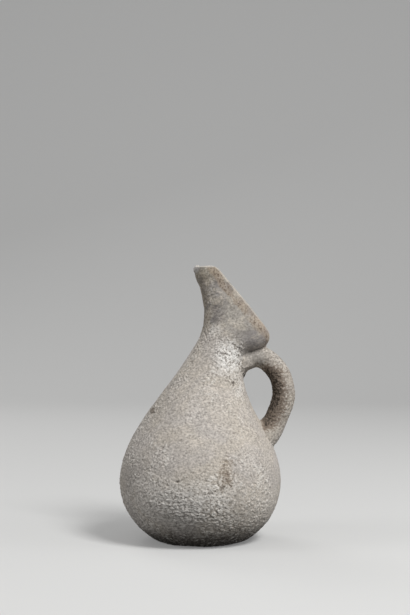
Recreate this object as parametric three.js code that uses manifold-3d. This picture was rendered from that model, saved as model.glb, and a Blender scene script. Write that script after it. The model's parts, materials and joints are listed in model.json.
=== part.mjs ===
// A hand-built jug of fired clay with a cut-away beak, in millimetres, with +Z up.
// The origin is the middle of the flat base, and the handle stands on the +X side. The neck leans
// towards the handle, and the beak rises from it and points up and away from the handle. Both sides of
// the XZ plane are alike.
//
// The jug is put together as a potter puts it together: a base disc, coils of wall and a neck with
// bevelled joints, a spout collar set into the neck, a beak set into the collar, and a rolled handle
// that is pegged through the wall at its foot. Two rolls of soft clay fill the corners under the handle's
// roots. A thin layer of slip lies in every joint.

import * as THREE from 'three';
import { mergeVertices } from 'three/addons/utils/BufferGeometryUtils.js';
import Module from 'manifold-3d';

const wasm = await Module();
wasm.setup();

// Clay and joints
const WALL = 5; // thickness of belly, shoulder and neck
const BASE_THICKNESS = 6.5; // thickness of the floor inside
const RIM_THICKNESS = 3.6; // thickness of the spout at its edge
const SLIP = 0.3; // layer of slip between two pieces
const LAP = 5; // length of a bevelled joint, along the wall

// Outer outline of the wall, from the base up to the neck's top
const BASE_RADIUS = 33;
const BELLY_RADIUS = 61.7;
const BELLY_HEIGHT = 45; // height of the widest place
const BELLY_FULLNESS = 38; // how far the belly's curve pulls straight up from there
const NECK_RADIUS = 21.7;
const NECK_HEIGHT = 144; // height of the neck's top
const NECK_PULL = 40; // how far the neck's curve pulls down from its top
const NECK_TAPER = 4.8; // how much wider the neck is at the foot of that pull
const NECK_LEAN = 14.9; // offset of the neck's top towards the handle
const LEAN_LENGTH = 64; // height over which the wall leans, up to the neck's top
const LEAN_POWER = 2.5; // how late the lean comes on

// Pieces of the wall, measured on the outside
const BASE_EDGE = 4.5; // height of the base disc's edge
const BELLY_COILS = 5; // between the base disc and the coil that takes the handle's peg
const PEG_OVER_SEAM = 5; // height of the handle's foot over the lower joint of that coil
const PEG_COIL = 14.5; // height of that coil
const SHOULDER_COILS = 2; // between that coil and the neck
const NECK_BAND = 23; // height of the neck

// Edge of the spout: the level end of the beak, the long slope of the mouth and the round back lip
const SPOUT_RISE = 65.4; // height of the beak's end over the neck's top
const TIP_REACH = 20.2; // from the neck's middle forward to the beak's front
const TIP_LENGTH = 17; // level end of the beak, front to back
const TIP_WIDTH = 16;
const TIP_ROUND = 4; // depth of the round at the beak's front
const TIP_ROUND_WIDTH = 12.8; // width of the beak where that round ends
const SLOPE_BOW = 0.8; // how far the middle of the slope stands out from a straight line
const MOUTH_WIDTH = 33;
const MOUTH_PLACE = 0.66; // place of the widest part, as a share of the slope's length
const LIP_REACH = 36.7; // from the neck's middle back to the lip
const LIP_RISE = 17; // height of the lip over the neck's top
const LIP_WIDTH = 22; // width of the mouth where the slope ends
const LIP_ROUND = 2; // how far the lip's middle lies past the slope's end
const CUT_TURN = 9; // distance from the corner over which the cut turns from level to sloping

// How the spout's sheet leaves the neck and comes up to its edge
const FRONT_RISE = 22; // pull along the neck's line at the front
const BACK_RISE = 1.5; // pull along the neck's line at the back, where the sheet folds out
const FRONT_SWELL = new THREE.Vector3(7.4, 0, -24); // pull at the edge, beside the beak's front
const BACK_SWELL = new THREE.Vector3(6.5, 0, -15); // pull at the edge, beside the back lip
const SIDE_SWELL = 8; // pull outward at the edge, on each side, so that the sheet leans in there
const FOLD_POWER = 2; // how close to the back the fold stays

// Handle: a roll of clay in the XZ plane
const HANDLE_DROP = 7; // depth of the upper root under the neck's top
const CROWN_REACH = 12; // distance of the crown from the neck's side
const CROWN_RISE = 3.3; // height of the crown over the upper root
const KNUCKLE_REACH = 25.3; // distance from the neck's side of the place where the handle turns down
const KNUCKLE_DROP = 7.6; // depth of that place under the upper root
const BOW_DROP = 25; // depth of the outermost place under the upper root
const FINGER_GAP = 20.5; // opening between wall and handle at that height
const FOOT_DROP = 57; // depth of the lower root under the upper root
const FOOT_BEND = 14; // height over the lower root where the handle turns in to the wall
const FOOT_GAP = 6; // opening between wall and handle at that bend
const FOOT_SLOPE = THREE.MathUtils.degToRad(37); // how steeply the handle goes down into the wall
const HANDLE_WIDTH = 18; // across the jug
const ROOT_THICKNESS = 16; // in the plane of the handle, at the upper root
const KNUCKLE_THICKNESS = 16.6;
const BOW_THICKNESS = 17;
const FOOT_THICKNESS = 18;
const TENON_RADIUS = 3.5; // peg at the foot, through the wall
const TENON_ROOT = 6; // length of the peg inside the handle's foot
const TENON_PROUD = 2; // length of the peg that stands out inside the jug

// Rolls of clay in the corners under the handle's roots
const UPPER_ROLL_WIDTH = 4.2;
const UPPER_ROLL_REACH = 6;
const LOWER_ROLL_WIDTH = 6.5;
const LOWER_ROLL_REACH = 13;

// Fineness of the mesh
const SEGMENTS = 48; // round the jug
const BAND_STEP = 7; // largest step along the wall
const FLARE_STEPS = 4; // along the slope, from the beak's end to the mouth's widest part
const SPOUT_STEPS = 10; // from the neck to the spout's edge
const FOOT_BEVEL_STEPS = 2; // of those, how many the bevel at the spout's foot takes on the inside
const COLLAR_STEPS = 5; // of those, how many belong to the collar on the outside
const BEAK_BEVEL_STEPS = 1; // how many fewer belong to it on the inside, where the beak tucks in
const ROLL_STEPS = 32; // along the handle
const ROLL_SEGMENTS = 20; // round the handle
const TENON_SEGMENTS = 20;
const TOLERANCE = 1e-4; // distance under which two places are one

// Solids

// A closed mesh as a solid that can be cut and joined.
function toSolid(geometry) {
  const bare = geometry.clone();
  bare.deleteAttribute('normal');
  bare.deleteAttribute('uv');
  const merged = mergeVertices(bare, TOLERANCE);
  return new wasm.Manifold(
    new wasm.Mesh({
      numProp: 3,
      vertProperties: new Float32Array(merged.attributes.position.array),
      triVerts: new Uint32Array(merged.index.array),
    }),
  );
}

function toGeometry(solid) {
  const { vertProperties, triVerts } = solid.getMesh();
  const geometry = new THREE.BufferGeometry();
  geometry.setAttribute('position', new THREE.BufferAttribute(vertProperties, 3));
  geometry.setIndex(new THREE.BufferAttribute(triVerts, 1));
  geometry.computeVertexNormals();
  return geometry;
}

// A skin over rings with the same number of points, each four-sided patch split along its shorter
// diagonal. It either closes on itself, ring after ring, or a fan of triangles closes each end.
function loft(rings, closesOnItself) {
  const count = rings[0].length;
  const points = rings.flat();
  const faces = [];
  const rows = closesOnItself ? rings.length : rings.length - 1;
  for (let row = 0; row < rows; row++) {
    const low = row * count;
    const high = ((row + 1) % rings.length) * count;
    for (let i = 0; i < count; i++) {
      const next = (i + 1) % count;
      const onward = points[low + i].distanceTo(points[high + next]);
      const backward = points[low + next].distanceTo(points[high + i]);
      if (onward <= backward + TOLERANCE) {
        faces.push(low + i, low + next, high + next, low + i, high + next, high + i);
      } else {
        faces.push(low + i, low + next, high + i, low + next, high + next, high + i);
      }
    }
  }
  if (!closesOnItself) {
    const last = (rings.length - 1) * count;
    for (let i = 1; i < count - 1; i++) {
      faces.push(0, i + 1, i, last, last + i, last + i + 1);
    }
  }
  const geometry = new THREE.BufferGeometry().setFromPoints(points);
  geometry.setIndex(faces);
  return geometry;
}

// Outline of the wall: radius as x and height as y

// The bowl is an arc of an ellipse through the base's edge and the widest place. One curve leads from
// there over the shoulder to the neck's top.
const bowlDepth = BELLY_HEIGHT / Math.sqrt(1 - (BASE_RADIUS / BELLY_RADIUS) ** 2);
const outline = new THREE.Path();
outline.absellipse(0, BELLY_HEIGHT, BELLY_RADIUS, bowlDepth, -Math.asin(BELLY_HEIGHT / bowlDepth), 0);
outline.bezierCurveTo(
  BELLY_RADIUS,
  BELLY_HEIGHT + BELLY_FULLNESS,
  NECK_RADIUS + NECK_TAPER,
  NECK_HEIGHT - NECK_PULL,
  NECK_RADIUS,
  NECK_HEIGHT,
);
const outlineLength = outline.getLength();

// Distance along the outline, from the base's edge, of the place at a height.
function alongAt(height) {
  let low = 0;
  let high = outlineLength;
  while (high - low > TOLERANCE) {
    const middle = (low + high) / 2;
    if (outline.getPointAt(middle / outlineLength).y < height) low = middle;
    else high = middle;
  }
  return low;
}

// A point of the wall, so far along the outline and so deep under the outer face.
function wallPoint(along, depth) {
  const share = THREE.MathUtils.clamp(along / outlineLength, 0, 1);
  const tangent = outline.getTangentAt(share);
  const inward = new THREE.Vector2(-tangent.y, tangent.x);
  return outline.getPointAt(share).addScaledVector(inward, depth);
}

function wallPoints(from, to, depth) {
  const steps = Math.max(2, Math.ceil(Math.abs(to - from) / BAND_STEP));
  return Array.from({ length: steps + 1 }, (_, i) =>
    wallPoint(THREE.MathUtils.lerp(from, to, i / steps), depth),
  );
}

function leanAt(height) {
  const share = Math.max(0, 1 - (NECK_HEIGHT - height) / LEAN_LENGTH);
  return NECK_LEAN * share ** LEAN_POWER;
}

// Outer face of the wall on the handle's side, in the XZ plane.
function wallSide(height) {
  return outline.getPointAt(alongAt(height) / outlineLength).x + leanAt(height);
}

// A profile turned round the jug's axis, each height then moved by its lean.
function turned(profile) {
  const geometry = new THREE.LatheGeometry(profile, SEGMENTS).rotateX(Math.PI / 2);
  const position = geometry.attributes.position;
  for (let i = 0; i < position.count; i++) {
    position.setX(i, position.getX(i) + leanAt(position.getZ(i)));
  }
  return geometry;
}

// Wall

const rootHeight = NECK_HEIGHT - HANDLE_DROP;
const footHeight = rootHeight - FOOT_DROP;

// The slip's thickness is measured square to the bevel, so along the wall it takes more.
const slipAlong = (SLIP * Math.hypot(WALL, LAP)) / WALL;
const baseSeam = alongAt(BASE_EDGE);
const pegSeam = alongAt(footHeight - PEG_OVER_SEAM);
const shoulderSeam = alongAt(footHeight - PEG_OVER_SEAM + PEG_COIL);
const neckSeam = alongAt(NECK_HEIGHT - NECK_BAND);

// A band of wall between two joints. On the inside it sits one lap lower than on the outside, so each
// band tucks into the one below it.
function band(from, to) {
  const outer = wallPoints(from + slipAlong, to, 0);
  const inner = wallPoints(to - LAP, from - LAP + slipAlong, WALL);
  return turned([...outer, ...inner, outer[0]]);
}

function baseDisc() {
  const underside = new THREE.Vector2(0, 0);
  const edge = wallPoints(0, baseSeam, 0);
  const bevel = wallPoint(baseSeam - LAP, WALL);
  const floorEdge = new THREE.Vector2(bevel.x - BASE_THICKNESS, BASE_THICKNESS);
  const floor = new THREE.Vector2(0, BASE_THICKNESS);
  return turned([underside, ...edge, bevel, floorEdge, floor]);
}

// All that lies inside the wall's outer face, as one solid that is larger by a clearance. It goes on
// straight up into the spout's foot.
function wallSolid(clearance) {
  const face = wallPoints(0, outlineLength, -clearance);
  const top = NECK_HEIGHT + WALL;
  const bottom = new THREE.Vector2(0, face[0].y);
  const shoulders = [new THREE.Vector2(face.at(-1).x, top), new THREE.Vector2(0, top)];
  return toSolid(turned([bottom, ...face, ...shoulders]));
}

// Spout

const tip = new THREE.Vector3(NECK_LEAN - TIP_REACH, 0, NECK_HEIGHT + SPOUT_RISE);
const corner = new THREE.Vector3(tip.x + TIP_LENGTH, 0, tip.z);
const lip = new THREE.Vector3(NECK_LEAN + LIP_REACH, 0, NECK_HEIGHT + LIP_RISE);
const slopeNormal = new THREE.Vector3(corner.z - lip.z, 0, lip.x - corner.x).normalize();

// The edge runs from the beak's front along one side to the back lip, and back along the other side.
function spoutEdge() {
  const onSlope = (share, width) => {
    const bow = SLOPE_BOW * 4 * share * (1 - share);
    return corner.clone().lerp(lip, share).addScaledVector(slopeNormal, bow).setY(width / 2);
  };
  const flare = Array.from({ length: FLARE_STEPS + 1 }, (_, i) => {
    const share = i / FLARE_STEPS;
    const opened = THREE.MathUtils.smoothstep(share, 0, 1);
    return onSlope(share * MOUTH_PLACE, THREE.MathUtils.lerp(TIP_WIDTH, MOUTH_WIDTH, opened));
  });
  const side = [
    new THREE.Vector3(tip.x + TIP_ROUND, TIP_ROUND_WIDTH / 2, tip.z),
    ...flare,
    onSlope(1 - LIP_ROUND / corner.distanceTo(lip), LIP_WIDTH),
  ];
  const mirrored = side.map((p) => new THREE.Vector3(p.x, -p.y, p.z));
  return new THREE.CatmullRomCurve3([tip, ...mirrored, lip, ...side.toReversed()], true);
}

// The sheet's outer face: one curve up from the neck for each place round it, from the front past the
// -Y side to the back and round again.
function spoutFace() {
  const edge = spoutEdge();
  const neckTop = outline.getPointAt(1);
  const neckLine = outline.getTangentAt(1);
  const taper = neckLine.x / neckLine.y;
  const leanRate = (NECK_LEAN * LEAN_POWER) / LEAN_LENGTH;
  const curves = Array.from({ length: SEGMENTS }, (_, i) => {
    const angle = Math.PI + (2 * Math.PI * i) / SEGMENTS;
    const [cos, sin] = [Math.cos(angle), Math.sin(angle)];
    const backness = ((1 + cos) / 2) ** FOLD_POWER;
    const upNeck = new THREE.Vector3(leanRate + taper * cos, taper * sin, 1);
    const foot = new THREE.Vector3(NECK_LEAN + neckTop.x * cos, neckTop.x * sin, neckTop.y);
    foot.addScaledVector(upNeck, slipAlong);
    const rise = THREE.MathUtils.lerp(FRONT_RISE, BACK_RISE, backness);
    const top = edge.getPointAt(i / SEGMENTS);
    const swell = FRONT_SWELL.clone().lerp(BACK_SWELL, backness).setY(SIDE_SWELL * sin);
    return new THREE.CubicBezierCurve3(
      foot,
      foot.clone().addScaledVector(upNeck, rise),
      top.clone().add(swell),
      top,
    );
  });
  return Array.from({ length: SPOUT_STEPS + 1 }, (_, step) =>
    curves.map((curve) => curve.getPoint(step / SPOUT_STEPS)),
  );
}

// The edge is cut level at the beak's end and along the mouth's slope behind it. This is the upward
// normal of the cut at a distance from the jug's axis.
function cutNormal(x) {
  const slanted = THREE.MathUtils.smoothstep(x, corner.x - CUT_TURN, corner.x + CUT_TURN);
  return new THREE.Vector3(0, 0, 1).lerp(slopeNormal, slanted).normalize();
}

// Each point of the face moved square to it, by an outward distance that depends on the step. The
// points of the edge stay in the cut.
function movedFace(face, distanceAt) {
  return face.map((ring, step) =>
    ring.map((point, i) => {
      const below = face[Math.max(0, step - 1)][i];
      const above = face[Math.min(SPOUT_STEPS, step + 1)][i];
      const before = ring[(i + SEGMENTS - 1) % SEGMENTS];
      const after = ring[(i + 1) % SEGMENTS];
      const outward = after.clone().sub(before).cross(above.clone().sub(below));
      if (step === SPOUT_STEPS) outward.projectOnPlane(cutNormal(point.x));
      return point.clone().addScaledVector(outward.normalize(), distanceAt(step / SPOUT_STEPS));
    }),
  );
}

// The spout's lower end is bevelled to tuck into the neck, and this ring is the bevel's lower edge.
function spoutSeat() {
  const seat = wallPoint(outlineLength - LAP + slipAlong, WALL);
  return Array.from({ length: SEGMENTS }, (_, i) => {
    const angle = Math.PI + (2 * Math.PI * i) / SEGMENTS;
    return new THREE.Vector3(
      leanAt(seat.y) + seat.x * Math.cos(angle),
      seat.x * Math.sin(angle),
      seat.y,
    );
  });
}

const spoutOuter = spoutFace();
const spoutInner = movedFace(spoutOuter, (share) => -THREE.MathUtils.lerp(WALL, RIM_THICKNESS, share));

// All of the spout, its outer face larger by a clearance.
function spoutSolid(clearance) {
  const outer = movedFace(spoutOuter, () => clearance);
  return toSolid(loft([...outer, ...spoutInner.slice(FOOT_BEVEL_STEPS).reverse(), spoutSeat()], true));
}

function spoutCollar() {
  const outer = spoutOuter.slice(0, COLLAR_STEPS + 1);
  const inner = spoutInner.slice(FOOT_BEVEL_STEPS, COLLAR_STEPS - BEAK_BEVEL_STEPS + 1);
  return loft([...outer, ...inner.reverse(), spoutSeat()], true);
}

// The rings of a face from a step up to the edge, the first one moved up by the slip.
function ringsAbove(face, step) {
  const first = face[step].map((point, i) => {
    const above = face[step + 1][i];
    return point.clone().lerp(above, slipAlong / point.distanceTo(above));
  });
  return [first, ...face.slice(step + 1)];
}

function spoutBeak() {
  const outer = ringsAbove(spoutOuter, COLLAR_STEPS);
  const inner = ringsAbove(spoutInner, COLLAR_STEPS - BEAK_BEVEL_STEPS);
  return loft([...outer, ...inner.reverse()], true);
}

// Handle

// A place at a height in the handle's plane, so far out from the wall at another height.
function besideWall(wallHeight, reach, height) {
  return new THREE.Vector3(wallSide(wallHeight) + reach, 0, height);
}

// The roll runs on under the wall at both ends, until all of its section is inside.
const bowHeight = rootHeight - BOW_DROP;
const bendHeight = footHeight + FOOT_BEND;
const footBuried = FOOT_THICKNESS - WALL;
const handleMiddle = new THREE.CatmullRomCurve3([
  besideWall(rootHeight, -WALL, rootHeight),
  besideWall(rootHeight, CROWN_REACH, rootHeight + CROWN_RISE),
  besideWall(rootHeight, KNUCKLE_REACH, rootHeight - KNUCKLE_DROP),
  besideWall(bowHeight, FINGER_GAP + BOW_THICKNESS / 2, bowHeight),
  besideWall(bendHeight, FOOT_GAP + FOOT_THICKNESS / 2, bendHeight),
  besideWall(footHeight, 0, footHeight),
  besideWall(
    footHeight,
    -footBuried * Math.cos(FOOT_SLOPE),
    footHeight - footBuried * Math.sin(FOOT_SLOPE),
  ),
]);
const handleLength = handleMiddle.getLength();
const thicknessCurve = new THREE.SplineCurve(
  [ROOT_THICKNESS, KNUCKLE_THICKNESS, BOW_THICKNESS, FOOT_THICKNESS].map(
    (thickness, i) => new THREE.Vector2(i, thickness),
  ),
);

// The handle's section at a share of its length, larger by a growth that depends on the side:
// facing is 1 on the side of the finger opening and 0 on the far side.
function handleRing(share, growthAt) {
  const centre = handleMiddle.getPointAt(share);
  const tangent = handleMiddle.getTangentAt(share);
  const outward = new THREE.Vector3(-tangent.z, 0, tangent.x);
  const thickness = thicknessCurve.getPoint(share).y;
  return Array.from({ length: ROLL_SEGMENTS }, (_, i) => {
    const angle = (2 * Math.PI * i) / ROLL_SEGMENTS;
    const facing = (1 - Math.cos(angle)) / 2;
    const growth = growthAt(facing);
    const point = centre.clone();
    point.addScaledVector(outward, (thickness / 2 + growth) * Math.cos(angle));
    point.y -= (HANDLE_WIDTH / 2 + growth) * Math.sin(angle);
    return point;
  });
}

function handleRoll(clearance) {
  const rings = Array.from({ length: ROLL_STEPS + 1 }, (_, i) =>
    handleRing(i / ROLL_STEPS, () => clearance),
  );
  return toSolid(loft(rings, false));
}

// The peg goes through the wall square to it, from inside the handle's foot.
function tenon(radius) {
  const along = alongAt(footHeight);
  const outside = wallPoint(along, -TENON_ROOT);
  const inside = wallPoint(along, WALL + TENON_PROUD);
  const length = outside.distanceTo(inside);
  const middle = outside.clone().add(inside).multiplyScalar(0.5);
  const tilt = Math.atan2(outside.y - inside.y, outside.x - inside.x);
  const geometry = new THREE.CylinderGeometry(radius, radius, length, TENON_SEGMENTS);
  geometry.rotateZ(-Math.PI / 2).rotateY(-tilt);
  geometry.translate(middle.x + leanAt(footHeight), 0, middle.y);
  return toSolid(geometry);
}

// A roll of clay in the corner between the wall and the handle: the handle's own section, swollen on
// the side of the finger opening, most at the wall, and fading along the handle.
function rootRoll(outFromWall, width, reach) {
  const rings = [];
  for (let i = 0; i <= ROLL_STEPS; i++) {
    const share = i / ROLL_STEPS;
    const fade = Math.max(0, outFromWall(share * handleLength) / reach);
    if (fade > 1) continue;
    const growth = width * (1 - Math.sin((fade * Math.PI) / 2)) + 2 * SLIP;
    rings.push(handleRing(share, (facing) => growth * facing));
  }
  return toSolid(loft(rings, false));
}

// Assembly

const wallCutter = wallSolid(SLIP);
const spoutCutter = spoutSolid(SLIP);
const handleCutter = handleRoll(SLIP);
const outFromNeck = (along) => along - WALL;
const outFromBelly = (along) => handleLength - along - footBuried;

const handle = handleRoll(0).subtract(wallCutter).subtract(spoutCutter).add(tenon(TENON_RADIUS));
const upperRoll = rootRoll(outFromNeck, UPPER_ROLL_WIDTH, UPPER_ROLL_REACH)
  .subtract(wallCutter)
  .subtract(spoutCutter)
  .subtract(handleCutter);
const lowerRoll = rootRoll(outFromBelly, LOWER_ROLL_WIDTH, LOWER_ROLL_REACH)
  .subtract(wallCutter)
  .subtract(handleCutter);
const peggedCoil = toSolid(band(pegSeam, shoulderSeam)).subtract(tenon(TENON_RADIUS + SLIP));

const encrustedClay = new THREE.MeshStandardMaterial({ color: 0xb4ada6, roughness: 0.95, metalness: 0 });
const bareClay = new THREE.MeshStandardMaterial({ color: 0x958d84, roughness: 0.8, metalness: 0 });
const handleClay = new THREE.MeshStandardMaterial({ color: 0xa0968c, roughness: 0.92, metalness: 0 });

const jug = new THREE.Group();

function addPiece(name, geometry, material) {
  const mesh = new THREE.Mesh(geometry, material);
  mesh.name = name;
  jug.add(mesh);
}

// A length of wall as equal bands, numbered from below.
function addCoils(name, from, to, count) {
  const length = (to - from) / count;
  for (let i = 0; i < count; i++) {
    const start = from + length * i;
    addPiece(`${name}_${i + 1}`, band(start, start + length), encrustedClay);
  }
}

addPiece('base_disc', baseDisc(), encrustedClay);
addCoils('belly_coil', baseSeam, pegSeam, BELLY_COILS);
addPiece('peg_coil', toGeometry(peggedCoil), encrustedClay);
addCoils('shoulder_coil', shoulderSeam, neckSeam, SHOULDER_COILS);
addPiece('neck', band(neckSeam, outlineLength), encrustedClay);
addPiece('spout_collar', spoutCollar(), bareClay);
addPiece('spout_beak', spoutBeak(), bareClay);
addPiece('handle', toGeometry(handle), handleClay);
addPiece('upper_root_roll', toGeometry(upperRoll), handleClay);
addPiece('lower_root_roll', toGeometry(lowerRoll), handleClay);

export default jug;
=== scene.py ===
"""Dresses a hand-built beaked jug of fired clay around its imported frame.

A single skin is grown over all pieces of the frame, roughened with Geometry Nodes and cut up again
into one closed piece for each piece of clay, so that the joints under the slip don't show. Lengths
are in metres.
"""

import json
import logging
import math
from dataclasses import dataclass, field
from enum import Enum
from typing import Callable, Union

import bmesh
import bpy
import numpy as np
from mathutils import Matrix, Vector
from mathutils.bvhtree import BVHTree
from mathutils.kdtree import KDTree

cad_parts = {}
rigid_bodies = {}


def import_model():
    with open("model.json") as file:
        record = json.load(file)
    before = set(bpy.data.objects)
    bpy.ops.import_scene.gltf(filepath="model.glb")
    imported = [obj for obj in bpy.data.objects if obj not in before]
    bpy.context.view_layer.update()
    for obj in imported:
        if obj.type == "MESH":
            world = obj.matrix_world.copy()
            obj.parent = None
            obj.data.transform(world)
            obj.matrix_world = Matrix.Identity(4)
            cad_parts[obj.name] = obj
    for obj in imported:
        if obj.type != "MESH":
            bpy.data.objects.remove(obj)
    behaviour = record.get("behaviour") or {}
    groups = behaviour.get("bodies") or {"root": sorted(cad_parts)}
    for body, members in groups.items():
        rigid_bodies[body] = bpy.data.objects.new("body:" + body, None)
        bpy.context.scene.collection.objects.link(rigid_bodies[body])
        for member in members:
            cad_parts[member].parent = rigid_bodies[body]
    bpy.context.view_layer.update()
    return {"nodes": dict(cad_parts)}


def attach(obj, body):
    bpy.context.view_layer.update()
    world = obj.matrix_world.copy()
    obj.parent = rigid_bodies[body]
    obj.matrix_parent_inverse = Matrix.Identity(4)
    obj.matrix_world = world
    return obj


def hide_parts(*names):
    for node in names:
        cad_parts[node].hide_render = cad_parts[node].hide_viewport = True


LOG = logging.getLogger("jug")
MM = 0.001
BODY = "root"
WHITE = (1.0, 1.0, 1.0)
FACE_CORNERS = 4
NOISE_MEAN = 0.5

# Numbers of the colour sockets of a Mix node.
MIX_FIRST = 6
MIX_SECOND = 7
MIX_COLOUR = 2

Colour = tuple[float, float, float, float]
Point = tuple[float, float, float]
Span = tuple[float, float]
Operand = Union["Field", float, Colour, Point, str, bpy.types.NodeSocket]


class Slot(Enum):
    """Material slots of the record."""

    CRUSTED = "encrusted_clay"
    BARE = "bare_clay"
    HANDLE = "handle_clay"


class Trait(Enum):
    """Values that the relief leaves on the skin for the finishes to read."""

    RELIEF = "relief"
    CRUST = "crust"
    BARE = "bare"
    WIPED = "wiped"
    # Soot and painted shade on the handle's side that faces the opening.
    SOOT_AND_SHADE = "soot_and_shade"


def operator(operation: str, swapped: bool = False) -> Callable[["Field", Operand], "Field"]:
    """Makes an operator of fields.

    Args:
        operation: What its Math node works out.
        swapped: Whether the field stands on the right.

    Returns:
        The operator.
    """

    def combined(here: "Field", other: Operand) -> "Field":
        """Adds the node."""
        operands = (other, here) if swapped else (here, other)
        return here.graph.math(operation, *operands)

    return combined


class Field:
    """A node socket that takes part in Python expressions."""

    def __init__(self, graph: "Graph", socket: bpy.types.NodeSocket) -> None:
        """Wraps a socket of a graph."""
        self.graph = graph
        self.socket = socket

    __add__ = operator("ADD")
    __radd__ = operator("ADD", swapped=True)
    __sub__ = operator("SUBTRACT")
    __rsub__ = operator("SUBTRACT", swapped=True)
    __mul__ = operator("MULTIPLY")
    __rmul__ = operator("MULTIPLY", swapped=True)
    __truediv__ = operator("DIVIDE")


class Graph:
    """Adds nodes to a node tree."""

    def __init__(self, tree: bpy.types.NodeTree) -> None:
        """Starts on a tree."""
        self.tree = tree

    def feed(self, socket: bpy.types.NodeSocket, value: Operand) -> None:
        """Links or sets an input.

        Args:
            socket: The input.
            value: A field or socket to link, or a plain value.
        """
        if isinstance(value, Field):
            self.tree.links.new(value.socket, socket)
        elif isinstance(value, bpy.types.NodeSocket):
            self.tree.links.new(value, socket)
        else:
            socket.default_value = value

    def add(self, kind: str, settings: dict | None = None, inputs: dict | None = None) -> bpy.types.Node:
        """Adds a node.

        Args:
            kind: The node's type.
            settings: Its properties, which are set first.
            inputs: Values or links of its inputs, by name or number.

        Returns:
            The node.
        """
        node = self.tree.nodes.new(kind)
        for name, value in (settings or {}).items():
            setattr(node, name, value)
        for key, value in (inputs or {}).items():
            self.feed(node.inputs[key], value)
        return node

    def read(
        self, kind: str, output: int | str, settings: dict | None = None, inputs: dict | None = None
    ) -> Field:
        """Adds a node and takes one of its outputs.

        Args:
            kind: The node's type.
            output: Name or number of the output.
            settings: The node's properties.
            inputs: Values or links of its inputs.

        Returns:
            The output.
        """
        return Field(self, self.add(kind, settings, inputs).outputs[output])

    def math(self, operation: str, *operands: Operand) -> Field:
        """Adds a Math node over its operands and returns its value."""
        return self.read("ShaderNodeMath", 0, {"operation": operation}, dict(enumerate(operands)))

    def vector(self, operation: str, *operands: Operand) -> Field:
        """Adds a Vector Math node over its operands and returns its vector."""
        return self.read("ShaderNodeVectorMath", 0, {"operation": operation}, dict(enumerate(operands)))

    def stretch(self, place: Field, factors: Point) -> Field:
        """Returns a place with each axis times its own factor, so that patterns there get longer."""
        return self.vector("MULTIPLY", place, factors)

    def dot(self, first: Operand, second: Operand) -> Field:
        """Returns the dot product of two vectors."""
        return self.read("ShaderNodeVectorMath", 1, {"operation": "DOT_PRODUCT"}, {0: first, 1: second})

    def length(self, vector: Field) -> Field:
        """Returns the length of a vector."""
        return self.read("ShaderNodeVectorMath", 1, {"operation": "LENGTH"}, {0: vector})

    def part(self, vector: Field, axis: str) -> Field:
        """Returns the X, Y or Z part of a vector."""
        return self.read("ShaderNodeSeparateXYZ", axis, None, {0: vector})

    def ease(self, value: Field, low: float, high: float) -> Field:
        """Returns a smooth step from 0 at low to 1 at high."""
        settings = {"interpolation_type": "SMOOTHSTEP"}
        return self.read("ShaderNodeMapRange", 0, settings, {0: value, 1: low, 2: high})

    def fall(self, value: Field, low: float, high: float) -> Field:
        """Returns a smooth step from 1 at low to 0 at high."""
        settings = {"interpolation_type": "SMOOTHSTEP"}
        return self.read("ShaderNodeMapRange", 0, settings, {0: value, 1: low, 2: high, 3: 1.0, 4: 0.0})

    def noise(
        self, place: Operand, size: Operand, detail: float = 2.0, rough: float = 0.5, warp: float = 0.0
    ) -> Field:
        """Adds a cloudy noise.

        Args:
            place: Where it is read.
            size: Size of its largest clouds.
            detail: How many finer layers it has.
            rough: How strong they are.
            warp: How far it is stirred.

        Returns:
            The noise, about 0 on average and rarely past 0.3 either way.
        """
        scale = 1 / size if isinstance(size, float) else self.math("DIVIDE", 1.0, size)
        inputs = {
            "Vector": place,
            "Scale": scale,
            "Detail": detail,
            "Roughness": rough,
            "Distortion": warp,
        }
        return self.read("ShaderNodeTexNoise", 0, {"noise_dimensions": "3D"}, inputs) - NOISE_MEAN

    def mix(self, factor: Operand, first: Operand, second: Operand) -> Field:
        """Returns a colour between two colours."""
        inputs = {0: factor, MIX_FIRST: first, MIX_SECOND: second}
        return self.read("ShaderNodeMix", MIX_COLOUR, {"data_type": "RGBA"}, inputs)

    def shade(self, colour: Operand, factor: Operand) -> Field:
        """Returns a colour times a value."""
        node = self.add("ShaderNodeVectorMath", {"operation": "SCALE"})
        self.feed(node.inputs[0], colour)
        self.feed(node.inputs["Scale"], factor)
        return Field(self, node.outputs[0])


def mm(*lengths: float) -> tuple[float, ...]:
    """Returns lengths that are given in millimetres."""
    return tuple(length * MM for length in lengths)


@dataclass(frozen=True)
class Patch:
    """A roundish place on the skin, with a ragged edge."""

    middle: Point
    reach: Point
    edge: float = 0.5

    def mask(self, graph: Graph, place: Field, ragged: Field) -> Field:
        """Builds the patch's mask.

        Args:
            graph: Where the nodes go.
            place: Position on the skin.
            ragged: Noise, about 0 on average, that frays the edge.

        Returns:
            1 in the middle of the patch and 0 outside it.
        """
        away = graph.vector("SUBTRACT", place, self.middle)
        distance = graph.length(graph.vector("DIVIDE", away, self.reach))
        return graph.fall(distance + ragged, 1 - self.edge, 1 + self.edge)


@dataclass(frozen=True)
class Groove:
    """A straight groove in the side view of the jug, with tapering ends."""

    start: Point
    end: Point
    width: float
    depth: float
    taper: float = 0.18
    bend: float = 2.0

    def mask(self, graph: Graph, place: Field, ragged: Field) -> Field:
        """Builds the groove's mask.

        Args:
            graph: Where the nodes go.
            place: Position on the skin.
            ragged: Noise, about 0 on average, that bends the groove.

        Returns:
            1 in the groove's middle and 0 outside it.
        """
        run = Vector(self.end) - Vector(self.start)
        ahead = run.normalized()
        aside = Vector((-ahead.z, 0, ahead.x))
        offset = graph.vector("SUBTRACT", place, self.start)
        forward = graph.dot(offset, tuple(ahead)) / run.length
        bent = graph.dot(offset, tuple(aside)) + ragged * (self.bend * self.width)
        sideways = graph.math("ABSOLUTE", bent)
        ends = graph.ease(forward, 0.0, self.taper) * graph.fall(forward, 1 - self.taper, 1.0)
        return graph.fall(sideways, 0.0, self.width) * ends


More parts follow.
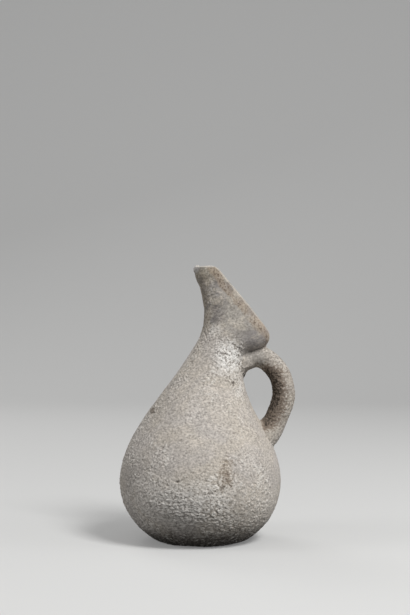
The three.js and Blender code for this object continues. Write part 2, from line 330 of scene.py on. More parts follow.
@dataclass(frozen=True)
class Swell:
    """A place where the clay stands out a little, or is drawn in."""

    patch: Patch
    height: float


NECK_CRUST = Patch(mm(21.6, -20, 140.5), mm(11, 13, 13))
NECK_RUN = Patch(mm(29, -15, 123), mm(8, 12, 17), 0.6)
PUMICE = Patch(mm(-16, -54, 35), mm(25, 26, 17), 0.8)
PUMICE_SIDE = Patch(mm(9, -56, 39), mm(15, 22, 16), 0.8)
WIPED = Patch(mm(12, -17, 174), mm(6.5, 12, 7), 0.4)
SMOOTH_ROOT = Patch(mm(41, 0, 142), mm(9, 22, 9), 0.35)
TIP_KNOB = Patch(mm(-2.5, 0, 207.9), mm(2.8, 3.8, 3.1))
NECK_FLECKS = Patch(mm(11, -19, 161.5), mm(6, 10, 5), 0.7)
LIP_LUTING = Patch(mm(48, 0, 148.7), mm(2.6, 7, 1.5))


@dataclass
class Relief:
    """Rough surface of the clay, as a Geometry Nodes tree on the skin."""

    fray_size: float = 9 * MM
    bend_size: float = 7 * MM
    wobble_size: float = 42 * MM
    wobble_height: float = 1.3 * MM
    lump_size: float = 8 * MM
    lump_height: float = 0.4 * MM
    bare_lumps: float = 0.6
    grit_size: float = 1.6 * MM
    grit_height: float = 1.3 * MM
    grit_stretch: Point = (0.75, 0.75, 1.0)
    plain_grit: float = 0.6
    crust_grit: float = 0.4
    bare_grit: float = 0.72
    clod_size: float = 2.2 * MM
    clod_height: float = 0.36 * MM
    clod_edge: Span = (-0.04, 0.1)
    pit_size: float = 2.3 * MM
    pit_depth: float = 0.5 * MM
    pit_edge: Span = (0.13, 0.22)
    plain_pits: float = 0.55
    crust_pits: float = 0.45
    bare_pits: float = 0.8
    streak_size: float = 1.7 * MM
    streak_height: float = 1.3 * MM
    streak_stretch: Point = (0.3, 0.3, 1.0)
    soot_and_shade_streaks: float = 0.8
    wiped_streaks: float = 0.32
    wiped_fray: float = 1.4
    crust_size: float = 26 * MM
    crust_edge: Span = (-0.06, 0.16)
    crust_foot: Span = mm(20, 70)
    crust_gain: float = 0.08
    bare_from: float = 158 * MM
    bare_to: float = 172 * MM
    bare_slope: float = 0.45
    bare_fray: float = 18 * MM
    opening: Point = mm(47, 0, 112)
    side_view: Point = (1.0, 0.0, 1.0)
    handle_start: Span = mm(44, 50)
    soot_and_shade_foot: Span = mm(80, 90)
    soot_and_shade_top: Span = mm(129, 139)
    soot_and_shade_edge: Span = (-1.05, 0.75)
    soot_and_shade_grain: float = 1.5
    soot_and_shade_fray: float = 0.8
    table: Point = (-1.0, -1.0, 0.0)
    swells: tuple[Swell, ...] = (
        Swell(Patch(mm(-6.2, 0, 210.6), mm(2, 7, 2)), -0.3 * MM),
        Swell(Patch(mm(37.2, 0, 129), mm(4.2, 12, 4.2)), -2.6 * MM),
        Swell(Patch(mm(-3, 0, 201.5), mm(6, 8, 4.8), 0.8), 1.0 * MM),
    )
    relief_unit: float = 0.3 * MM
    rough_places: tuple[Patch, ...] = (NECK_CRUST, NECK_RUN, PUMICE, PUMICE_SIDE)
    rough_fray: float = 1.5
    holes: tuple[Patch, ...] = (
        Patch(mm(24.6, -19, 120.5), mm(1.1, 4, 2.0)),
        Patch(mm(-16.7, -59, 52), mm(1.8, 4, 0.9)),
        Patch(mm(16, -58, 47), mm(1.4, 4, 2.0)),
    )
    hole_depth: float = 0.55 * MM
    grooves: tuple[Groove, ...] = (
        Groove(mm(36.5, 0, 144), mm(51, 0, 149.2), 0.8 * MM, 0.7 * MM),
        Groove(mm(49.4, 0, 149), mm(48.6, 0, 133), 0.9 * MM, 0.22 * MM),
        Groove(mm(1.2, 0, 167), mm(5.2, 0, 153), 0.8 * MM, 0.35 * MM),
        Groove(mm(-1.4, 0, 160), mm(1.6, 0, 148), 0.8 * MM, 0.3 * MM),
        Groove(mm(4.4, 0, 163), mm(7.6, 0, 151), 0.7 * MM, 0.25 * MM),
    )

    def sizes(self) -> dict[str, float]:
        """Returns the named inputs of the tree."""
        return {
            "Wobble Size": self.wobble_size,
            "Wobble Height": self.wobble_height,
            "Lump Size": self.lump_size,
            "Lump Height": self.lump_height,
            "Grit Size": self.grit_size,
            "Grit Height": self.grit_height,
            "Clod Size": self.clod_size,
            "Clod Height": self.clod_height,
            "Pit Size": self.pit_size,
            "Pit Depth": self.pit_depth,
            "Streak Size": self.streak_size,
            "Streak Height": self.streak_height,
            "Hole Depth": self.hole_depth,
        }

    def traits(self, graph: Graph, place: Field, normal: Field) -> dict[Trait, Field]:
        """Works out where the clay is crusted, bare or wiped, and where the handle is sooty and in
        painted shade.

        Args:
            graph: Where the nodes go.
            place: Position on the skin.
            normal: Outward direction.

        Returns:
            A mask for each of these traits.
        """
        across, up = graph.part(place, "X"), graph.part(place, "Z")
        ragged = graph.noise(place, self.fray_size, detail=3.0, rough=0.6)
        level = up + ragged * self.bare_fray + across * self.bare_slope
        bare = graph.ease(level, self.bare_from, self.bare_to)
        bare = graph.math("MAXIMUM", bare, SMOOTH_ROOT.mask(graph, place, ragged))
        cloud = graph.noise(place, self.crust_size, detail=3.0, rough=0.55, warp=0.4)
        low = graph.fall(up, *self.crust_foot) * self.crust_gain
        crust = graph.ease(cloud + low, *self.crust_edge)
        for patch in self.rough_places:
            crust = graph.math("MAXIMUM", crust, patch.mask(graph, place, ragged * self.rough_fray))
        wiped = WIPED.mask(graph, place, ragged * self.wiped_fray)

        # The soot mask follows how far the skin faces the finger opening, so it paints shade there as
        # well as soot.
        offset = graph.vector("SUBTRACT", self.opening, place)
        toward = graph.vector("MULTIPLY", offset, self.side_view)
        facing = graph.dot(graph.vector("NORMALIZE", toward), normal)
        streaks = graph.noise(graph.stretch(place, self.streak_stretch), self.streak_size)
        handle = graph.ease(across, *self.handle_start) * graph.ease(up, *self.soot_and_shade_foot)
        soot_and_shade_level = facing + streaks * self.soot_and_shade_grain + ragged * self.soot_and_shade_fray
        inner = graph.ease(soot_and_shade_level, *self.soot_and_shade_edge)
        return {
            Trait.CRUST: crust * (1 - bare),
            Trait.BARE: bare,
            Trait.WIPED: wiped,
            Trait.SOOT_AND_SHADE: inner * handle * graph.fall(up, *self.soot_and_shade_top),
        }

    def heights(
        self, graph: Graph, given: dict[str, Field], place: Field, traits: dict[Trait, Field]
    ) -> tuple[Field, Field]:
        """Works out how far the surface moves.

        Args:
            graph: Where the nodes go.
            given: The tree's named inputs.
            place: Position on the skin.
            traits: Masks of the skin's traits.

        Returns:
            The broad and the fine part of the relief, along the normal.
        """
        crust, bare = traits[Trait.CRUST], traits[Trait.BARE]
        wiped, soot_and_shade = traits[Trait.WIPED], traits[Trait.SOOT_AND_SHADE]
        bend = graph.noise(place, self.bend_size)
        wobble = graph.noise(place, given["Wobble Size"], detail=1.0) * given["Wobble Height"]
        lumps = graph.noise(place, given["Lump Size"], rough=0.55) * given["Lump Height"]
        broad = wobble + lumps * (1 - self.bare_lumps * bare)
        for swell in self.swells:
            broad = broad + swell.patch.mask(graph, place, bend) * swell.height

        rough = (self.plain_grit + self.crust_grit * crust) * (1 - self.bare_grit * bare)
        bedded = graph.stretch(place, self.grit_stretch)
        grit = graph.noise(bedded, given["Grit Size"], detail=3.0, rough=0.68) * given["Grit Height"]
        fine = grit * rough
        clods = graph.noise(bedded, given["Clod Size"], detail=3.0, rough=0.7, warp=0.2)
        fine = fine + graph.ease(clods, *self.clod_edge) * given["Clod Height"] * crust
        pits = graph.noise(place, given["Pit Size"], rough=0.6, warp=0.5)
        pits = graph.ease(pits, *self.pit_edge) * given["Pit Depth"]
        pits = pits * (self.plain_pits + self.crust_pits * crust)
        fine = fine - pits * (1 - self.bare_pits * bare)
        drawn = graph.stretch(place, self.streak_stretch)
        streaks = graph.noise(drawn, given["Streak Size"], rough=0.6) * given["Streak Height"]
        fine = fine + streaks * (self.soot_and_shade_streaks * soot_and_shade + self.wiped_streaks * wiped)
        for hole in self.holes:
            fine = fine - hole.mask(graph, place, bend) * given["Hole Depth"]
        for groove in self.grooves:
            fine = fine - groove.mask(graph, place, bend) * groove.depth
        return broad, fine

    def build(self, finish: bpy.types.Material) -> tuple[bpy.types.NodeTree, dict[str, str]]:
        """Builds the tree.

        Args:
            finish: Material of the skin.

        Returns:
            The tree, and the identifiers of its named inputs.
        """
        tree = bpy.data.node_groups.new("clay_relief", "GeometryNodeTree")
        tree.interface.new_socket(name="Geometry", in_out="INPUT", socket_type="NodeSocketGeometry")
        keys = {}
        for name in self.sizes():
            socket = tree.interface.new_socket(name=name, in_out="INPUT", socket_type="NodeSocketFloat")
            keys[name] = socket.identifier
        tree.interface.new_socket(name="Geometry", in_out="OUTPUT", socket_type="NodeSocketGeometry")
        graph = Graph(tree)
        entry = graph.add("NodeGroupInput")
        given = {name: Field(graph, entry.outputs[name]) for name in self.sizes()}
        place = graph.read("GeometryNodeInputPosition", 0)
        normal = graph.read("GeometryNodeInputNormal", 0)
        traits = self.traits(graph, place, normal)
        broad, fine = self.heights(graph, given, place, traits)

        push = graph.shade(normal, broad + fine)
        moved = graph.vector("ADD", place, push)
        standing = graph.vector("MAXIMUM", moved, self.table)
        shape = graph.add(
            "GeometryNodeSetPosition", None, {"Geometry": entry.outputs[0], "Position": standing}
        )
        values = {**traits, Trait.RELIEF: fine / self.relief_unit}
        for trait, value in values.items():
            shape = graph.add(
                "GeometryNodeStoreNamedAttribute",
                {"data_type": "FLOAT", "domain": "POINT"},
                {"Geometry": shape.outputs[0], "Name": trait.value, "Value": value},
            )
        real = graph.add("GeometryNodeRealizeInstances", None, {0: shape.outputs[0]})
        dressed = graph.add(
            "GeometryNodeSetMaterial", None, {"Geometry": real.outputs[0], "Material": finish}
        )
        end = graph.add("NodeGroupOutput")
        graph.feed(end.inputs[0], dressed.outputs[0])
        return tree, keys

    def apply(self, skin: bpy.types.Object, finish: bpy.types.Material) -> bpy.types.Mesh:
        """Roughens the skin.

        Args:
            skin: The smooth skin.
            finish: Its material.

        Returns:
            A plain mesh with the relief and its traits.
        """
        tree, keys = self.build(finish)
        modifier = skin.modifiers.new("relief", "NODES")
        modifier.node_group = tree
        for name, value in self.sizes().items():
            modifier[keys[name]] = value
        mesh = baked(skin)
        skin.modifiers.clear()
        return mesh


def baked(item: bpy.types.Object) -> bpy.types.Mesh:
    """Returns an object's mesh with its modifiers applied."""
    depsgraph = bpy.context.evaluated_depsgraph_get()
    return bpy.data.meshes.new_from_object(item.evaluated_get(depsgraph))


def linked(name: str, mesh: bpy.types.Mesh) -> bpy.types.Object:
    """Returns a new object of the scene that shows a mesh."""
    item = bpy.data.objects.new(name, mesh)
    bpy.context.scene.collection.objects.link(item)
    return item


def read_rows(
    data: bpy.types.bpy_prop_collection, key: str, each: int, width: int, kind: type = np.float32
) -> np.ndarray:
    """Reads one property of all items as rows of numbers.

    Args:
        data: The items.
        key: The property's name.
        each: How many numbers an item has.
        width: How many numbers a row has.
        kind: Type of the numbers.

    Returns:
        An array of these rows.
    """
    values = np.empty(len(data) * each, kind)
    data.foreach_get(key, values)
    return values.reshape(-1, width)


class FaceEdges:
    """How the four-sided faces of a closed mesh meet."""

    plain_cuts: int = 3

    def __init__(self, faces: np.ndarray) -> None:
        """Finds the faces beside each face.

        Args:
            faces: Corners of each face.
        """
        self.faces = faces
        self.points = int(faces.max()) + 1
        self.starts = faces.ravel()
        self.ends = np.roll(faces, -1, axis=1).ravel()
        low = np.minimum(self.starts, self.ends).astype(np.int64)
        keys = low * self.points + np.maximum(self.starts, self.ends)
        order = np.argsort(keys, kind="stable")
        paired = keys[order][:-1] == keys[order][1:]
        self.first, self.second = order[:-1][paired], order[1:][paired]
        beside = np.repeat(np.arange(len(faces)), FACE_CORNERS)
        beside[self.first] = self.second // FACE_CORNERS
        beside[self.second] = self.first // FACE_CORNERS
        self.beside = beside.reshape(-1, FACE_CORNERS)

    def knots(self, labels: np.ndarray) -> np.ndarray:
        """Returns the points where more than three cuts meet."""
        here, there = labels[self.first // FACE_CORNERS], labels[self.second // FACE_CORNERS]
        changes = (here != there).astype(np.int64)
        meets = np.bincount(self.starts[self.first], changes, self.points)
        meets += np.bincount(self.ends[self.first], changes, self.points)
        return np.flatnonzero(meets > self.plain_cuts)


@dataclass
class Skin:
    """The jug's surface as one mesh, and the places where it is cut up into pieces."""

    nodes: dict[str, bpy.types.Object]
    finish: bpy.types.Material
    voxel: float = 0.5 * MM
    overlap: float = 0.22 * MM
    merge: float = 0.005 * MM
    sharp: float = math.radians(38)
    skewed: float = math.radians(70)
    shell_limit: float = 2.5
    rounds: int = 2
    smoothing: int = 12
    smooth_share: float = 0.5
    lumps: tuple[Patch, ...] = (TIP_KNOB, LIP_LUTING)
    lump_segments: int = 32
    lump_rings: int = 16
    joint_step: float = 1.5 * MM
    joint_gap: float = 0.8 * MM
    joint_reach: float = 5 * MM
    joint_levels: int = 8
    joint_smoothing: int = 60
    relief: Relief = field(default_factory=Relief)
    ring_span: float = 22 * MM
    cap_depth: float = -2.5 * MM
    roots: tuple[str, ...] = ("handle", "upper_root_roll", "lower_root_roll")
    carriers: dict[str, str] = field(
        default_factory=lambda: {"spout_collar": "spout_beak", "peg_coil": "belly_coil_5"}
    )
    strip: int = 4
    tidying: int = 12
    clear_votes: int = 3

    def grown_copy(self, node: bpy.types.Object) -> bpy.types.Object:
        """Copies a piece of the frame, grown so that it closes the layer of slip around it.

        Args:
            node: The piece.

        Returns:
            A smooth object with the piece's edges kept.
        """
        shape = bmesh.new()
        shape.from_mesh(node.data)
        bmesh.ops.remove_doubles(shape, verts=shape.verts, dist=self.merge)
        bmesh.ops.join_triangles(
            shape,
            faces=shape.faces,
            angle_face_threshold=self.sharp,
            angle_shape_threshold=self.skewed,
        )
        crease = shape.edges.layers.float.new("crease_edge")
        for edge in shape.edges:
            if edge.calc_face_angle(math.pi) > self.sharp:
                edge[crease] = 1.0
        shape.normal_update()
        offsets = []
        for vert in shape.verts:
            outward = vert.normal * min(vert.calc_shell_factor(), self.shell_limit)
            offsets.append(outward * self.overlap)
        for vert, offset in zip(shape.verts, offsets):
            vert.co += offset
        mesh = bpy.data.meshes.new("grown")
        shape.to_mesh(mesh)
        shape.free()
        item = linked("grown", mesh)
        rounding = item.modifiers.new("rounding", "SUBSURF")
        rounding.levels = rounding.render_levels = self.rounds
        return item

    def joined(self) -> bpy.types.Object:
        """Returns all grown copies as one object."""
        shape = bmesh.new()
        for node in self.nodes.values():
            item = self.grown_copy(node)
            mesh = baked(item)
            shape.from_mesh(mesh)
            bpy.data.meshes.remove(mesh)
            bpy.data.objects.remove(item)
        for lump in self.lumps:
            placed = Matrix.LocRotScale(Vector(lump.middle), None, Vector(lump.reach))
            bmesh.ops.create_uvsphere(
                shape,
                u_segments=self.lump_segments,
                v_segments=self.lump_rings,
                radius=1.0,
                matrix=placed,
            )
        mesh = bpy.data.meshes.new("skin")
        shape.to_mesh(mesh)
        shape.free()
        return linked("skin", mesh)

    def grow(self) -> bpy.types.Mesh:
        """Returns the roughened skin over all pieces."""
        item = self.joined()
        fuse = item.modifiers.new("fuse", "REMESH")
        fuse.mode = "VOXEL"
        fuse.voxel_size = self.voxel
        fuse.use_smooth_shade = True
        smooth = item.modifiers.new("smooth", "SMOOTH")
        smooth.factor = self.smooth_share
        smooth.iterations = self.smoothing
        item.data = baked(item)
        item.modifiers.clear()
        self.soften(item)
        mesh = self.relief.apply(item, self.finish)
        bpy.data.objects.remove(item)
        return mesh

    def joints(self) -> KDTree:
        """Returns places along all edges where a piece of the frame meets another one."""
        trees = {
            name: BVHTree.FromPolygons(
                [vert.co for vert in node.data.vertices], [face.vertices for face in node.data.polygons]
            )
            for name, node in self.nodes.items()
        }
        spots: list[Vector] = []
        for name, node in self.nodes.items():
            others = [tree for other, tree in trees.items() if other != name]
            shape = bmesh.new()
            shape.from_mesh(node.data)
            bmesh.ops.remove_doubles(shape, verts=shape.verts, dist=self.merge)
            for edge in shape.edges:
                if edge.calc_face_angle(math.pi) < self.sharp:
                    continue
                steps = math.ceil(edge.calc_length() / self.joint_step)
                for i in range(steps):
                    spot = edge.verts[0].co.lerp(edge.verts[1].co, i / steps)
                    if any(tree.find_nearest(spot, self.joint_gap)[0] for tree in others):
                        spots.append(spot)
            shape.free()
        found = KDTree(len(spots))
        for i, spot in enumerate(spots):
            found.insert(spot, i)
        found.balance()
        return found

    def soften(self, item: bpy.types.Object) -> None:
        """Smooths the skin along the joints, as the potter's fingers did.

        Args:
            item: The skin.
        """
        joints = self.joints()
        away = np.array([joints.find(vert.co)[2] for vert in item.data.vertices])
        levels = np.ceil((1 - away / self.joint_reach) * self.joint_levels)
        group = item.vertex_groups.new(name="joints")
        for level in range(1, self.joint_levels + 1):
            group.add(np.flatnonzero(levels == level).tolist(), level / self.joint_levels, "REPLACE")
        smooth = item.modifiers.new("soften", "SMOOTH")
        smooth.vertex_group = group.name
        smooth.factor = self.smooth_share
        smooth.iterations = self.joint_smoothing
        item.data = baked(item)
        item.modifiers.clear()
        item.vertex_groups.clear()

    def labels(self, centres: np.ndarray) -> np.ndarray:
        """Finds the piece of the frame that each face lies on.

        Args:
            centres: Middles of the faces.

        Returns:
            A number for each face, the place of its piece among the frame's nodes.
        """
        points: list[Point] = []
        faces: list[tuple[int, ...]] = []
        owner: list[int] = []
        for number, node in enumerate(self.nodes.values()):
            start = len(points)
            points.extend(tuple(vert.co) for vert in node.data.vertices)
            for polygon in node.data.polygons:
                faces.append(tuple(start + i for i in polygon.vertices))
                owner.append(number)
        tree = BVHTree.FromPolygons(points, faces)
        return np.array([owner[tree.find_nearest(Vector(centre))[2]] for centre in centres])

    def parted(self, labels: np.ndarray, edges: "FaceEdges") -> np.ndarray:
        """Gives the pieces that carry the handle a strip past its roots, so that they run all round.

        Args:
            labels: Piece of each face.
            edges: How the faces meet.

        Returns:
            The changed labels.
        """
        names = list(self.nodes)
        near = np.isin(labels, [names.index(root) for root in self.roots])
        for _ in range(self.strip):
            near = near | near[edges.beside].any(axis=1)
        for carrier, neighbour in self.carriers.items():
            labels = np.where(near & (labels == names.index(neighbour)), names.index(carrier), labels)
        return labels

    def tidied(self, labels: np.ndarray, edges: "FaceEdges") -> np.ndarray:
        """Clears stray faces, so that every cut is a plain line.

        Args:
            labels: Piece of each face.
            edges: How the faces meet.

        Returns:
            The cleared labels.
        """
        for _ in range(self.tidying):
            around = np.sort(labels[edges.beside], axis=1)
            strong = np.where(around[:, 1] == around[:, 2], around[:, 1], labels)
            votes = (around == strong[:, None]).sum(axis=1)
            labels = np.where(votes >= self.clear_votes, strong, labels)
            knots = edges.knots(labels)
            for knot in knots:
                near = np.flatnonzero((edges.faces == knot).any(axis=1))
                labels[near] = np.bincount(labels[near]).argmax()
            if not len(knots):
                break
        return labels

    def close(self, shape: bmesh.types.BMesh) -> None:
        """Closes a cut-out piece: a band between each outer and inner ring, and a cone over other holes.

        Args:
            shape: The open piece.
        """
        rings, holes = [], []
        for loop in connected([edge for edge in shape.edges if edge.is_boundary]):
            spots = np.array([vert.co for edge in loop for vert in edge.verts])
            span = spots.max(axis=0) - spots.min(axis=0)
            round_jug = min(span[0], span[1]) > self.ring_span
            (rings if round_jug else holes).append((spots[:, 2].mean(), loop))
        rings.sort(key=lambda ring: ring[0])
        for (_, low), (_, high) in zip(rings[::2], rings[1::2]):
            made = bmesh.ops.bridge_loops(shape, edges=low + high)
            self.turn(shape, made["faces"], low[0])
        for _, loop in holes:
            made = bmesh.ops.holes_fill(shape, edges=loop, sides=0)
            self.turn(shape, made["faces"], loop[0])
            bmesh.ops.poke(shape, faces=made["faces"], offset=self.cap_depth)

    @staticmethod
    def turn(
        shape: bmesh.types.BMesh, faces: list[bmesh.types.BMFace], edge: bmesh.types.BMEdge
    ) -> None:
        """Turns new faces to the same side as the face that they meet at an edge.

        Args:
            shape: The piece.
            faces: The new faces.
            edge: An edge between one of them and the skin.
        """
        here, there = edge.link_loops
        if here.vert == there.vert:
            bmesh.ops.reverse_faces(shape, faces=faces)
        for face in faces:
            face.normal_update()

    def cut(self, mesh: bpy.types.Mesh) -> dict[str, bpy.types.Mesh]:
        """Cuts the skin up into closed pieces.

        Args:
            mesh: The roughened skin.

        Returns:
            A mesh for each piece of the frame.
        """
        points = read_rows(mesh.vertices, "co", 3, 3)
        normals = read_rows(mesh.vertex_normals, "vector", 3, 3)
        faces = read_rows(mesh.loops, "vertex_index", 1, FACE_CORNERS, np.int32)
        traits = {
            trait: read_rows(mesh.attributes[trait.value].data, "value", 1, 1).ravel() for trait in Trait
        }
        edges = FaceEdges(faces)
        labels = self.tidied(self.labels(points[faces].mean(axis=1)), edges)
        labels = self.tidied(self.parted(labels, edges), edges)
        pieces = {}
        for number, name in enumerate(self.nodes):
            own = faces[labels == number]
            used, corners = np.unique(own, return_inverse=True)
            piece = bpy.data.meshes.new(name)
            piece.from_pydata(points[used].tolist(), [], corners.reshape(-1, FACE_CORNERS).tolist())
            for trait, values in traits.items():
                layer = piece.attributes.new(trait.value, "FLOAT", "POINT")
                layer.data.foreach_set("value", values[used])
            shape = bmesh.new()
            shape.from_mesh(piece)
            self.close(shape)
            shape.to_mesh(piece)
            shape.free()
            piece.polygons.foreach_set("use_smooth", np.ones(len(piece.polygons), bool))
            facing = read_rows(piece.vertex_normals, "vector", 3, 3)
            facing[: len(used)] = normals[used]
            piece.normals_split_custom_set_from_vertices(facing.tolist())
            pieces[name] = piece
        return pieces


def connected(edges: list[bmesh.types.BMEdge]) -> list[list[bmesh.types.BMEdge]]:
    """Groups edges that touch.

    Args:
        edges: The edges.

    Returns:
        A list for each connected group.
    """
    waiting = dict.fromkeys(edges)
    groups = []
    while waiting:
        group = [waiting.popitem()[0]]
        for edge in group:
            for vert in edge.verts:
                near = [other for other in vert.link_edges if other in waiting]
                for other in near:
                    del waiting[other]
                group.extend(near)
        groups.append(group)
    return groups


@dataclass
class Ground:
    """What a finish reads on the skin."""

    graph: Graph
    place: Field
    traits: dict[Trait, Field]
    ragged: Field
    speckle: Field


class Mark:
    """Something that colours a part of the clay."""

    def paint(self, ground: Ground, body: Field) -> Field:
        """Returns the clay's colour with the mark on it."""
        raise NotImplementedError


@dataclass(frozen=True)
class Blot(Mark):
    """A patch of colour, used for stains and for painted light and shade, that shows most in the low
    places between the grains.
    """

    patch: Patch
    colour: Colour
    strength: float
    fray: float = 2.2
    grain: float = 2.2

    def paint(self, ground: Ground, body: Field) -> Field:
        """Lays the patch of colour over the clay."""
        mask = self.patch.mask(ground.graph, ground.place, (ground.ragged + ground.speckle) * self.fray)
        grainy = ground.graph.shade(self.colour[:3], 1 + ground.speckle * self.grain)
        return ground.graph.mix(mask * self.strength, body, grainy)


@dataclass(frozen=True)
class Coat:
    """A colour that shows where a value is high, or where it is low."""

    colour: Colour
    edge: Span
    strength: float = 1.0
    low: bool = False

    def lay(self, graph: Graph, body: Field, value: Field, mask: Operand = 1.0) -> Field:
        """Lays the coat over the clay.

        Args:
            graph: Where the nodes go.
            body: The clay's colour so far.
            value: What the coat follows.
            mask: Where it may show.

        Returns:
            The new colour.
        """
        step = graph.fall if self.low else graph.ease
        return graph.mix(step(value, *self.edge) * mask * self.strength, body, self.colour)


@dataclass(frozen=True)
class Chalk(Mark):
    """Whitish mineral crust on the high places of a patch, with dark pits between."""

    patch: Patch
    crust: Coat = Coat((0.84, 0.815, 0.775, 1), (-0.18, 0.22))
    gap: Coat = Coat((0.1, 0.088, 0.078, 1), (-0.75, -0.35), low=True)
    strength: float = 0.9
    fray: float = 2.0
    clump_size: float = 7 * MM
    clump_gain: float = 2.2
    relief_gain: float = 0.35
    speckle_gain: float = 4.0

    def paint(self, ground: Ground, body: Field) -> Field:
        """Lays the crust over the clay."""
        graph = ground.graph
        mask = self.patch.mask(graph, ground.place, ground.ragged * self.fray) * self.strength
        clumps = graph.noise(ground.place, self.clump_size) * self.clump_gain
        relief = ground.traits[Trait.RELIEF] * self.relief_gain
        grain = relief + ground.speckle * self.speckle_gain + clumps
        body = self.crust.lay(graph, body, grain, mask)
        return self.gap.lay(graph, body, grain, mask)


@dataclass(frozen=True)
class RimTint(Mark):
    """Warm speckled band along the slanting edge of the spout, and a painted highlight, a pale line, at
    the edge itself.
    """

    corner: Point = mm(11.7, 0, 209.4)
    lip: Point = mm(51.6, 0, 161)
    band: float = 3.6 * MM
    band_edge: Span = mm(1.68, 4.2)
    band_fray: float = 9 * MM
    gap_size: float = 11 * MM
    gap_edge: Span = (-0.3, 0.0)
    warm: Colour = (0.365, 0.29, 0.218, 1)
    warm_strength: float = 0.6
    speck_size: float = 1.6 * MM
    specks: Coat = Coat((0.13, 0.095, 0.068, 1), (0.0, 0.13), 0.95)
    # Painted highlight: a pale line along the rim's edge.
    edge_highlight: Coat = Coat((0.5, 0.465, 0.41, 1), mm(0.35, 0.7), 0.6, low=True)
    edge_highlight_fray: float = 2 * MM

    def paint(self, ground: Ground, body: Field) -> Field:
        """Lays the band and the painted highlight over the clay."""
        graph = ground.graph
        run = (Vector(self.lip) - Vector(self.corner)).normalized()
        square = Vector((run.z, 0, -run.x))
        under = graph.dot(graph.vector("SUBTRACT", ground.place, self.corner), tuple(square))
        off = graph.math("ABSOLUTE", under + ground.ragged * self.band_fray - self.band)
        band = graph.fall(off, *self.band_edge)
        band = band * graph.ease(graph.noise(ground.place, self.gap_size, detail=3.0), *self.gap_edge)
        body = graph.mix(band * self.warm_strength, body, self.warm)
        specks = graph.noise(ground.place, self.speck_size, detail=3.0, rough=0.7)
        body = self.specks.lay(graph, body, specks, band)
        return self.edge_highlight.lay(graph, body, under + ground.ragged * self.edge_highlight_fray)


@dataclass(frozen=True)
class Wiping(Mark):
    """Dark streaks that a wet hand left, with pale flecks between."""

    size: float = 2.1 * MM
    stretch: Point = (0.45, 0.45, 1.0)
    dark: Coat = Coat((0.15, 0.13, 0.125, 1), (-0.08, 0.14), 0.75)
    pale: Coat = Coat((0.6, 0.57, 0.52, 1), (-0.2, -0.1), 0.6, low=True)

    def paint(self, ground: Ground, body: Field) -> Field:
        """Lays the streaks over the clay."""
        graph = ground.graph
        drawn = graph.stretch(ground.place, self.stretch)
        streaks = graph.noise(drawn, self.size, detail=3.0, rough=0.6)
        for coat in (self.dark, self.pale):
            body = coat.lay(graph, body, streaks, ground.traits[Trait.WIPED])
        return body


@dataclass(frozen=True)
class SootAndShade(Mark):
    """Dark, streaky side of the handle that faces the finger opening: partly soot streaks, partly
    painted shade where that side is turned from the light.
    """

    speckle_gain: float = 1.6
    relief_gain: float = 0.12
    # Brown and black coats: soot streaks and painted shade on the inner side of the handle.
    brown: Coat = Coat((0.195, 0.15, 0.115, 1), (0.1, 0.65), 0.85)
    black: Coat = Coat((0.035, 0.028, 0.023, 1), (0.7, 1.15), 0.95)

    def paint(self, ground: Ground, body: Field) -> Field:
        """Lays the soot and the painted shade over the clay."""
        grain = ground.speckle * self.speckle_gain + ground.traits[Trait.RELIEF] * self.relief_gain
        thick = ground.traits[Trait.SOOT_AND_SHADE] - grain
        for coat in (self.brown, self.black):
            body = coat.lay(ground.graph, body, thick)
        return body


@dataclass(frozen=True)
class FootShade(Mark):
    """Painted shade on the lowest part of the belly, darker towards the base."""

    # Painted shade: a dark colour laid on the belly near the base, where the underside is in shadow.
    painted_shade: Coat = Coat((0.068, 0.06, 0.052, 1), mm(3.6, 18), low=True)
    fray: float = 9 * MM
    speckle_gain: float = 1.6

    def paint(self, ground: Ground, body: Field) -> Field:
        """Lays the painted shade over the clay."""
        up = ground.graph.part(ground.place, "Z") + ground.ragged * self.fray
        return self.painted_shade.lay(ground.graph, body, up, 1.0 - self.speckle_gain * ground.speckle)


@dataclass(frozen=True)
class Flecks(Mark):
    """Pale flecks in rows on the lower part of the belly."""

    size: float = 1.6 * MM
    stretch: Point = (0.5, 0.5, 1.0)
    pale: Coat = Coat((0.74, 0.71, 0.66, 1), (0.03, 0.17), 0.75)
    top: Span = mm(29, 58)
    fray: float = 20 * MM

    def paint(self, ground: Ground, body: Field) -> Field:
        """Lays the flecks over the clay."""
        graph = ground.graph
        up = graph.part(ground.place, "Z") + ground.ragged * self.fray
        rows = graph.noise(graph.stretch(ground.place, self.stretch), self.size, detail=3.0, rough=0.65)
        return self.pale.lay(graph, body, rows, graph.fall(up, *self.top))


NECK_CHALK = (
    Chalk(NECK_CRUST, strength=1.0),
    Chalk(NECK_RUN, strength=0.22),
    Chalk(NECK_FLECKS, strength=0.4),
)
# Painted light: a pale blot that lightens the shaded corner between the neck and the handle's upper
# root.
LIT_CORNER = Blot(Patch(mm(34, -6, 128), mm(5, 12, 7), 0.5), (0.52, 0.48, 0.435, 1), 0.65, 1.0, 1.0)


